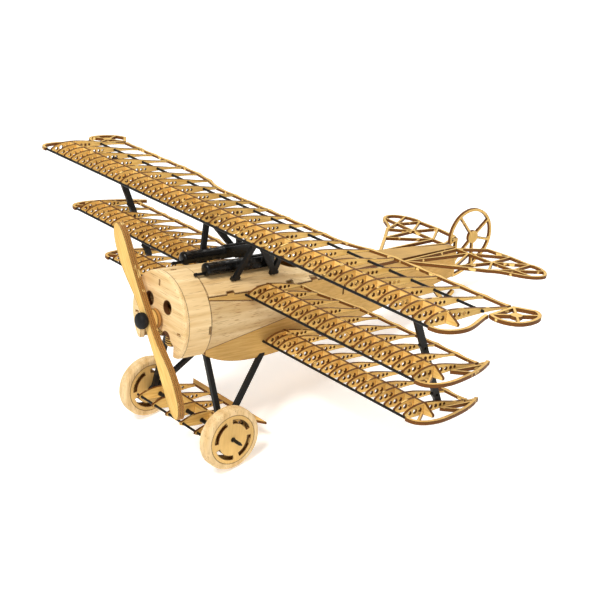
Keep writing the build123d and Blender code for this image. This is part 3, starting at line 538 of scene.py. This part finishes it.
# %% [markdown]
# ## Burnt ports
# The cowl's face has two round air ports, cut by the hot beam, so their walls are brown while the
# sanded rim of the cowl stays pale. The ports have no mesh of their own to dress. We measure in the
# finish how far a place is from the middle of a port, and brown everything that is close enough.
# Both ports are the same distance out, so the absolute value folds them onto one.


# %% Brown the ports in the face's finish
port_middle = (9.2 * mm, 0.0, 9.3 * mm)
port_radius = 4.0 * mm
lip_inside = 0.15 * mm      # fully brown up to here
lip_outside = 0.55 * mm     # bare wood from here
port_brown = (0.10, 0.036, 0.010, 1)


def burn_ports(material):
    """Brown the walls and lips of the cowl's two air ports."""
    nodes, links = material.node_tree.nodes, material.node_tree.links
    port_frame = nodes.new("NodeFrame")
    port_frame.label = "Burnt air ports"
    coords = nodes.new("ShaderNodeTexCoord")
    coords.label = "Place on the cowl"
    centred = nodes.new("ShaderNodeVectorMath")
    centred.label = "From the cowl's middle"
    centred.operation = "SUBTRACT"
    centred.inputs[1].default_value = cowl_middle
    level = nodes.new("ShaderNodeMapping")
    level.label = "Turn level"
    level.inputs["Rotation"].default_value = (lean_angle, 0, 0)
    fold = nodes.new("ShaderNodeVectorMath")
    fold.label = "Fold left onto right"
    fold.operation = "ABSOLUTE"
    flatten = nodes.new("ShaderNodeVectorMath")
    flatten.label = "Forget the depth"
    flatten.operation = "MULTIPLY"
    flatten.inputs[1].default_value = (1, 0, 1)
    reach = nodes.new("ShaderNodeVectorMath")
    reach.label = "Distance from a port"
    reach.operation = "DISTANCE"
    reach.inputs[1].default_value = port_middle
    lip = nodes.new("ShaderNodeMapRange")
    lip.label = "Burnt lip"
    lip.inputs["From Min"].default_value = port_radius + lip_outside
    lip.inputs["From Max"].default_value = port_radius + lip_inside
    burn = nodes.new("ShaderNodeMix")
    burn.label = "Brown the port"
    burn.data_type = "RGBA"
    burn.inputs["B"].default_value = port_brown
    for column, node in enumerate((coords, centred, level, fold, flatten, reach, lip, burn)):
        node.parent = port_frame
        node.location = (column * 220 - 900, -900)

    shader = next(node for node in nodes if node.type == "BSDF_PRINCIPLED")
    bare = shader.inputs["Base Color"].links[0].from_socket
    links.new(coords.outputs["Object"], centred.inputs[0])
    links.new(centred.outputs["Vector"], level.inputs["Vector"])
    links.new(level.outputs["Vector"], fold.inputs[0])
    links.new(fold.outputs["Vector"], flatten.inputs[0])
    links.new(flatten.outputs["Vector"], reach.inputs[0])
    links.new(reach.outputs["Value"], lip.inputs["Value"])
    links.new(bare, burn.inputs["A"])
    links.new(lip.outputs["Result"], burn.inputs["Factor"])
    links.new(burn.outputs["Result"], shader.inputs["Base Color"])


burn_ports(cross_balsa)
print("burnt ports at", [round(1000 * value, 1) for value in port_middle], "mm from the cowl's middle")

# %% [markdown]
# ## Blackened pieces
# The rods, struts and guns are black. A plain black shows no shape at all, so the finish has a faint
# mottled sheen, and its edges are painted a little paler: a painted highlight along each edge.


# %% Black finish
def black(name, tint, roughness, painted_highlight):
    """Black paint, with a painted highlight that makes each edge paler."""
    material = bpy.data.materials.new(name)
    material.use_nodes = True
    tree = material.node_tree
    nodes, links = tree.nodes, tree.links
    nodes.clear()

    highlight_frame = nodes.new("NodeFrame")
    highlight_frame.label = "Painted edge highlights"
    sheen_frame = nodes.new("NodeFrame")
    sheen_frame.label = "Uneven sheen"

    coords = nodes.new("ShaderNodeTexCoord")
    coords.label = "Place on the piece"
    rounded = nodes.new("ShaderNodeBevel")
    rounded.label = "Where an edge is near"
    rounded.samples = 4
    rounded.inputs["Radius"].default_value = 0.0003
    flat = nodes.new("ShaderNodeNewGeometry")
    flat.label = "True direction"
    nearness = nodes.new("ShaderNodeVectorMath")
    nearness.label = "Compare the two"
    nearness.operation = "DOT_PRODUCT"
    rim = nodes.new("ShaderNodeMapRange")
    rim.label = "Painted highlight line"
    rim.inputs["From Min"].default_value = 0.99
    rim.inputs["From Max"].default_value = 0.60
    # Painted highlight: the colour turns paler near each edge, where light would catch it.
    tone = nodes.new("ShaderNodeMix")
    tone.label = "Paler where rubbed"
    tone.data_type = "RGBA"
    tone.inputs["A"].default_value = (tint, tint, tint, 1)
    tone.inputs["B"].default_value = (painted_highlight, painted_highlight * 0.96, painted_highlight * 0.9, 1)
    for node in (rounded, flat, nearness, rim, tone):
        node.parent = highlight_frame
    mottle = nodes.new("ShaderNodeTexNoise")
    mottle.label = "Brush marks"
    mottle.inputs["Scale"].default_value = 420.0
    mottle.inputs["Detail"].default_value = 4.0
    rough = nodes.new("ShaderNodeMapRange")
    rough.label = "Duller and shinier"
    rough.inputs["To Min"].default_value = roughness - 0.1
    rough.inputs["To Max"].default_value = roughness + 0.15
    bump = nodes.new("ShaderNodeBump")
    bump.label = "Brushed surface"
    bump.inputs["Strength"].default_value = 0.06
    bump.inputs["Distance"].default_value = 0.0001
    shader = nodes.new("ShaderNodeBsdfPrincipled")
    shader.label = "Black paint"
    shader.inputs["Specular IOR Level"].default_value = 0.22
    output = nodes.new("ShaderNodeOutputMaterial")
    for node in (mottle, rough, bump, shader, output):
        node.parent = sheen_frame

    links.new(rounded.outputs["Normal"], nearness.inputs[0])
    links.new(flat.outputs["Normal"], nearness.inputs[1])
    links.new(nearness.outputs["Value"], rim.inputs["Value"])
    links.new(rim.outputs["Result"], tone.inputs["Factor"])
    links.new(tone.outputs["Result"], shader.inputs["Base Color"])
    links.new(coords.outputs["Object"], mottle.inputs["Vector"])
    links.new(mottle.outputs["Fac"], rough.inputs["Value"])
    links.new(rough.outputs["Result"], shader.inputs["Roughness"])
    links.new(mottle.outputs["Fac"], bump.inputs["Height"])
    links.new(bump.outputs["Normal"], shader.inputs["Normal"])
    links.new(shader.outputs["BSDF"], output.inputs["Surface"])

    lay_out((
        (coords, rounded, flat, nearness, rim, tone),
        (mottle, rough, bump, shader, output),
    ), -700, 300)
    return material


print("the black finish is ready to be mixed")

# %% [markdown]
# The rods and struts are satin, the guns are shinier, and the nut is nearly dull. The propeller's
# shaft is a bare steel wire, which the same recipe gives with a paler tint.

# %% Dress the black pieces
# The last number of each finish is the grey of its painted edge highlight.
rod_black = black("rod_black", 0.006, 0.42, 0.016)
gun_black = black("gun_black", 0.003, 0.27, 0.010)
hub_black = black("hub_black", 0.006, 0.60, 0.02)
steel_wire = black("steel_wire", 0.30, 0.30, 0.45)
dress(rod_black, "upper_wing_leading_rod", "upper_wing_rear_rod")
dress(rod_black, *[f"{wing}_wing_leading_rods" for wing in short_wings])
dress(rod_black, "axle", "axle_wing_leading_rod")
for hand in ("left", "right"):
    dress(rod_black, f"cabane_strut_{hand}", f"interplane_strut_{hand}", f"gear_strut_{hand}")
dress(steel_wire, "propeller_shaft")
print("black finishes:", [m.name for m in bpy.data.materials if m.name.endswith("_black")])

# %% [markdown]
# ## Helpers for the bench
# The turned and carved pieces are made by hand: a primitive is added at its size and place, and is
# then shaped in edit mode. Operators act on whatever is selected, so a few small helpers keep that
# in order. One begins with nothing selected, one picks faces by where they are, one applies a
# piece's modifiers, one makes a copy with its own mesh, and one tips the finished piece from the
# level bench into the model's stance.


# %% Helpers for pieces made by hand
sharp_angle = radians(38)       # edges sharper than this stay crisp
weld_gap = 0.002 * mm           # corners closer than this become one


def clear_bench():
    """Leave edit mode and deselect everything."""
    if bpy.context.mode != "OBJECT":
        bpy.ops.object.mode_set(mode="OBJECT")
    bpy.ops.object.select_all(action="DESELECT")


def pick_faces(test):
    """In edit mode, select the faces whose centre and normal pass the test."""
    bpy.ops.mesh.select_mode(type="FACE")
    bpy.ops.mesh.select_all(action="DESELECT")
    skin = bmesh.from_edit_mesh(bpy.context.object.data)
    for face in skin.faces:
        face.select_set(test(face.calc_center_median(), face.normal))
    bmesh.update_edit_mesh(bpy.context.object.data)


def finish_modifiers(piece):
    """Apply every modifier of a piece, in order."""
    for modifier in list(piece.modifiers):
        bpy.ops.object.modifier_apply(modifier=modifier.name)


def copied(piece, shift):
    """A copy with a mesh of its own, moved by so many mm on the bench."""
    clear_bench()
    piece.select_set(True)
    bpy.context.view_layer.objects.active = piece
    bpy.ops.object.duplicate(linked=False)
    bpy.ops.transform.translate(value=[step * mm for step in shift])
    return bpy.context.object


def settle(piece, name, material, body):
    """Close the skin, tip the piece into the stance, give it its finish and let it ride."""
    clear_bench()
    piece.select_set(True)
    bpy.context.view_layer.objects.active = piece
    piece.matrix_world = bench_to_stance @ piece.matrix_world
    bpy.ops.object.transform_apply(location=True, rotation=True, scale=True)
    bpy.ops.object.mode_set(mode="EDIT")
    bpy.ops.mesh.select_all(action="SELECT")
    bpy.ops.mesh.remove_doubles(threshold=weld_gap)
    bpy.ops.mesh.normals_make_consistent(inside=False)
    bpy.ops.object.mode_set(mode="OBJECT")
    bpy.ops.object.shade_smooth_by_angle(angle=sharp_angle)
    piece.name = name
    piece.data.name = name
    piece.data.materials.clear()
    piece.data.materials.append(material)
    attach(piece, body)
    print(name, "has", len(piece.data.polygons), "faces")


print("helpers: clear_bench, pick_faces, finish_modifiers, copied, settle")

# %% [markdown]
# ## Turned pieces
# The nut on the propeller, the gun jackets and their muzzles are round, so a lathe would make them.
# A spin would do it too, but a disc that is pushed forwards step by step, and made wider or
# narrower at each step, keeps the skin closed and reads like the lathe's own profile: a list of
# how far forward and how wide.


# %% Turn a profile, from the back to the front
front_turn = (pi / 2, 0, 0)     # stands a flat disc up, to face forwards


def turned(centre_x, centre_z, profile, segments):
    """A closed round piece about a line that runs forwards; profile holds (y, radius) in mm."""
    clear_bench()
    start_y, radius = profile[0]
    bpy.ops.mesh.primitive_circle_add(
        vertices=segments,
        radius=radius * mm,
        fill_type="NGON",
        location=(centre_x * mm, start_y * mm, centre_z * mm),
        rotation=front_turn,
    )
    bpy.ops.object.transform_apply(location=True, rotation=True, scale=True)
    bpy.ops.object.mode_set(mode="EDIT")
    bpy.ops.mesh.select_all(action="SELECT")
    last_y = start_y
    for y, next_radius in profile[1:]:
        step = {"value": (0, (y - last_y) * mm, 0)}
        bpy.ops.mesh.extrude_region_move(TRANSFORM_OT_translate=step)
        widen = next_radius / radius
        hub = (centre_x * mm, y * mm, centre_z * mm)
        bpy.ops.transform.resize(value=(widen, 1, widen), center_override=hub)
        last_y = y
        radius = next_radius
    bpy.ops.object.mode_set(mode="OBJECT")
    return bpy.context.object


nut_sides = 40
nut_profile = [(-8.7, 3.9), (-9.1, 4.5), (-10.2, 4.9), (-11.6, 4.9), (-12.6, 4.6), (-13.3, 4.0)]
nut_profile += [(-13.8, 3.0), (-14.05, 1.7), (-14.1, 0.5)]
nut = turned(0, 0, nut_profile, nut_sides)
settle(nut, "turned_dome_nut", hub_black, "propeller")
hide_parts("propeller_dome_nut")

# %% [markdown]
# ## The propeller
# The real one is three flat sheets glued together, each cut to the same outline. The glue lines and
# burnt walls show along its edge, so one thick blade with a texture would look wrong from the side.
# We cut one sheet, starting from a small plane at the hub. Its upper edge is drawn outwards station
# by station: how far out, and where the two edges of the blade lie. The lower edge is drawn out with
# both signs turned, so the second blade is the first one turned half round.

# %% Draw the outline of a sheet
hub_half = 3.1          # half the width of the sheet's square middle
blade_stations = [(9.0, -3.1, 3.0), (20.0, -4.4, 3.1), (30.0, -6.9, 3.4), (40.0, -7.6, 4.2)]
blade_stations += [(49.0, -6.9, 4.7), (55.5, -5.2, 4.3), (59.3, -2.6, 2.6), (60.5, -0.9, 1.0)]

clear_bench()
bpy.ops.mesh.primitive_plane_add(size=2 * hub_half * mm, location=(0, 0, 0), rotation=front_turn)
bpy.ops.object.transform_apply(location=True, rotation=True, scale=True)
sheet = bpy.context.object
bpy.ops.object.mode_set(mode="EDIT")
for hand in (1, -1):
    last_z, last_low, last_high = hub_half, -hub_half, hub_half
    bpy.ops.mesh.select_mode(type="EDGE")
    bpy.ops.mesh.select_all(action="DESELECT")
    skin = bmesh.from_edit_mesh(sheet.data)
    for edge in skin.edges:
        edge.select_set(all(corner.co.z * hand > 0.9 * hub_half * mm for corner in edge.verts))
    bmesh.update_edit_mesh(sheet.data)
    for z, low, high in blade_stations:
        middle = (low + high) / 2 - (last_low + last_high) / 2
        move = {"value": (hand * middle * mm, 0, hand * (z - last_z) * mm)}
        bpy.ops.mesh.extrude_region_move(TRANSFORM_OT_translate=move)
        widen = (high - low) / (last_high - last_low)
        centre = (hand * (low + high) / 2 * mm, 0, hand * z * mm)
        bpy.ops.transform.resize(value=(widen, 1, 1), center_override=centre)
        last_z, last_low, last_high = z, low, high
bpy.ops.object.mode_set(mode="OBJECT")
print("the outline has", len(sheet.data.polygons), "faces")

# %% [markdown]
# A subdivision smooths the outline, a solidify gives the sheet its thickness, and a narrow bevel
# takes the sharpness off its edge. The sheet is parked at its angle and then copied. The copies lie
# behind and in front of the first, each set a little to one side, as sheets glued by hand are.

# %% Thicken the sheet and stack three of it
sheet_thickness = 1.5
sheet_pitch = 1.6       # from one sheet to the next
sheet_stagger = 0.35    # how far each sheet is glued to the side of the last
stack_middle = -6.2     # how far the middle sheet is in front of the cowl

smooth = sheet.modifiers.new("outline", "SUBSURF")
smooth.levels = 2
smooth.render_levels = 2
thick = sheet.modifiers.new("sheet", "SOLIDIFY")
thick.thickness = sheet_thickness * mm
thick.offset = 0.0
sanded_edge = sheet.modifiers.new("edge", "BEVEL")
sanded_edge.width = 0.12 * mm
sanded_edge.segments = 1
finish_modifiers(sheet)
sheet.location = (0, stack_middle * mm, 0)
sheet.rotation_euler = (0, -parked_angle, 0)
bpy.context.view_layer.update()

aside = (sheet_stagger * cos(parked_angle), sheet_pitch, sheet_stagger * sin(parked_angle))
rear_sheet = copied(sheet, [-aside[0], aside[1], -aside[2]])
front_sheet = copied(sheet, [aside[0], -aside[1], aside[2]])
for number, layer in enumerate((rear_sheet, sheet, front_sheet), start=1):
    settle(layer, f"propeller_sheet_{number}", blade_sheet, "propeller")
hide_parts("propeller")

# %% [markdown]
# ## The guns
# Each gun is a perforated jacket with a domed nose, a thin muzzle under it and a square receiver
# behind. The jacket is turned from a profile: a band at the back, the barrel with a ring at each end
# of every row of slots, a band at the front, and the nose. Both guns are alike, so the left one is
# made, and the right one is a copy of it.

# %% Turn the jacket
gun_x = 11.5
gun_z = 29.5
to_right_gun = (-2 * gun_x, 0, 0)
jacket_radius = 3.95
barrel_radius = 3.7
jacket_sides = 24
slot_rows = [47.6, 42.0, 36.4, 30.8]
slot_length = 3.6

jacket_profile = [(52.0, 3.5), (51.8, jacket_radius), (50.4, jacket_radius), (50.2, barrel_radius)]
for row in slot_rows:
    jacket_profile += [(row, barrel_radius), (row - slot_length, barrel_radius)]
jacket_profile += [(24.6, barrel_radius), (24.5, jacket_radius), (23.6, jacket_radius)]
jacket_profile += [(22.8, 3.6), (22.3, 2.8), (22.1, 1.2)]
jacket_left = turned(gun_x, gun_z, jacket_profile, jacket_sides)
print("the jacket's profile has", len(jacket_profile), "rings")

# %% [markdown]
# On a black gun only the outline and the highlights show, so the slots are real dents, which give
# the highlight something to break on. Every second face round the barrel is inset and pushed in. A
# face's number round the barrel comes from its angle about the gun's own axis, and its row from how
# far forward it is.


# %% Sink the slots
gun_axis = Vector((gun_x * mm, 0, gun_z * mm))
slot_places = [(row - slot_length / 2) * mm for row in slot_rows]
slot_rim = 0.16         # metal left between two slots
slot_draft = 0.03       # how much a slot narrows towards its floor
slot_depth = 0.35
row_reach = 0.3         # how far a face may lie from the middle of its row


def is_slot(centre, normal):
    """Every second face round the barrel, in the slotted rows."""
    arm = (centre - gun_axis).xz
    turn = round((arm.angle_signed(Vector((0, 1))) + pi) / (2 * pi) * jacket_sides - 0.5)
    return turn % 2 == 0 and any(abs(centre.y - place) < row_reach * mm for place in slot_places)


bpy.ops.object.mode_set(mode="EDIT")
pick_faces(is_slot)
bpy.ops.mesh.inset(thickness=slot_rim * mm, depth=0.0, use_individual=True)
bpy.ops.mesh.inset(thickness=slot_draft * mm, depth=-slot_depth * mm, use_individual=True)
bpy.ops.object.mode_set(mode="OBJECT")
jacket_right = copied(jacket_left, to_right_gun)
settle(jacket_left, "slotted_gun_jacket_left", gun_black, "airframe")
settle(jacket_right, "slotted_gun_jacket_right", gun_black, "airframe")
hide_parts("gun_jackets")

# %% [markdown]
# The muzzle is a thinner turning that starts at the jacket's nose, a little under the jacket's own
# axis. It ends in a wider ring, and the last step of the profile goes back into it for the bore.

# %% Turn the muzzles
muzzle_drop = 2.2       # how far the muzzle lies under the jacket's axis
muzzle_sides = 16
muzzle_profile = [(21.95, 0.9), (17.6, 0.85), (17.4, 1.1), (16.2, 1.1), (15.6, 0.8), (15.9, 0.5)]
muzzle_left = turned(gun_x, gun_z - muzzle_drop, muzzle_profile, muzzle_sides)
muzzle_right = copied(muzzle_left, to_right_gun)
settle(muzzle_left, "turned_muzzle_left", gun_black, "airframe")
settle(muzzle_right, "turned_muzzle_right", gun_black, "airframe")
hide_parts("gun_muzzles")

# %% [markdown]
# A receiver is a box. A cover stands on it, its back plate is sunk, and a cocking plate lies on its
# outer side. All of these are grown out of one cube by picking faces, insetting
# them and drawing them out or in, so that the receiver stays one closed skin. We begin with the cube
# at its size, with each side cut into four rows of four, so that there are faces to pick.

# %% Size the receiver
receiver_front = 52.1
receiver_back = 71.0
receiver_half = 2.4
receiver_bottom = gun_z - 3.3
receiver_top = gun_z + 3.6

clear_bench()
middle_y = (receiver_front + receiver_back) / 2
middle_z = (receiver_bottom + receiver_top) / 2
bpy.ops.mesh.primitive_cube_add(size=1, location=(gun_x * mm, middle_y * mm, middle_z * mm))
receiver_left = bpy.context.object
receiver_left.scale = (
    2 * receiver_half * mm,
    (receiver_back - receiver_front) * mm,
    (receiver_top - receiver_bottom) * mm,
)
bpy.ops.object.transform_apply(location=True, rotation=True, scale=True)
bpy.ops.object.mode_set(mode="EDIT")
bpy.ops.mesh.select_all(action="SELECT")
bpy.ops.mesh.subdivide(number_cuts=3)
print("the block has", len(bmesh.from_edit_mesh(receiver_left.data).faces), "faces")

# %% [markdown]
# The cover is the middle of the top, raised. The back plate is the upper part of the back, sunk. The
# cocking plate is the front part of the outer side, raised. Each test reads as that sentence does:
# which way a face looks, and where it is.

# %% Grow the cover and the plates
cover_half = 1.3
cover_height = 0.9
lever_back = 60.0
pick_faces(lambda place, normal: normal.z > 0.9 and abs(place.x - gun_x * mm) < cover_half * mm)
bpy.ops.mesh.inset(thickness=0.3 * mm)
bpy.ops.transform.translate(value=(0, 0, cover_height * mm))
pick_faces(lambda place, normal: normal.y > 0.9 and place.z > gun_z * mm)
bpy.ops.mesh.inset(thickness=0.4 * mm, depth=-0.8 * mm)
pick_faces(lambda place, normal: normal.x > 0.9 and place.y < lever_back * mm and place.z > gun_z * mm)
bpy.ops.mesh.inset(thickness=0.3 * mm, depth=0.25 * mm)
bpy.ops.object.mode_set(mode="OBJECT")
print("the receiver has", len(receiver_left.data.polygons), "faces")

# %% [markdown]
# A narrow bevel rounds every edge, so that each one catches a thin line of light. The right receiver
# has its cocking plate on the other side, so its copy is turned over across the middle of the
# aeroplane.

# %% Round the edges and copy the receiver
soft_edge = receiver_left.modifiers.new("edge", "BEVEL")
soft_edge.width = 0.25 * mm
soft_edge.segments = 2
finish_modifiers(receiver_left)

receiver_right = copied(receiver_left, (0, 0, 0))
bpy.ops.transform.resize(value=(-1, 1, 1), center_override=(0, 0, 0))
settle(receiver_left, "covered_receiver_left", gun_black, "airframe")
settle(receiver_right, "covered_receiver_right", gun_black, "airframe")
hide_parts("gun_receivers")
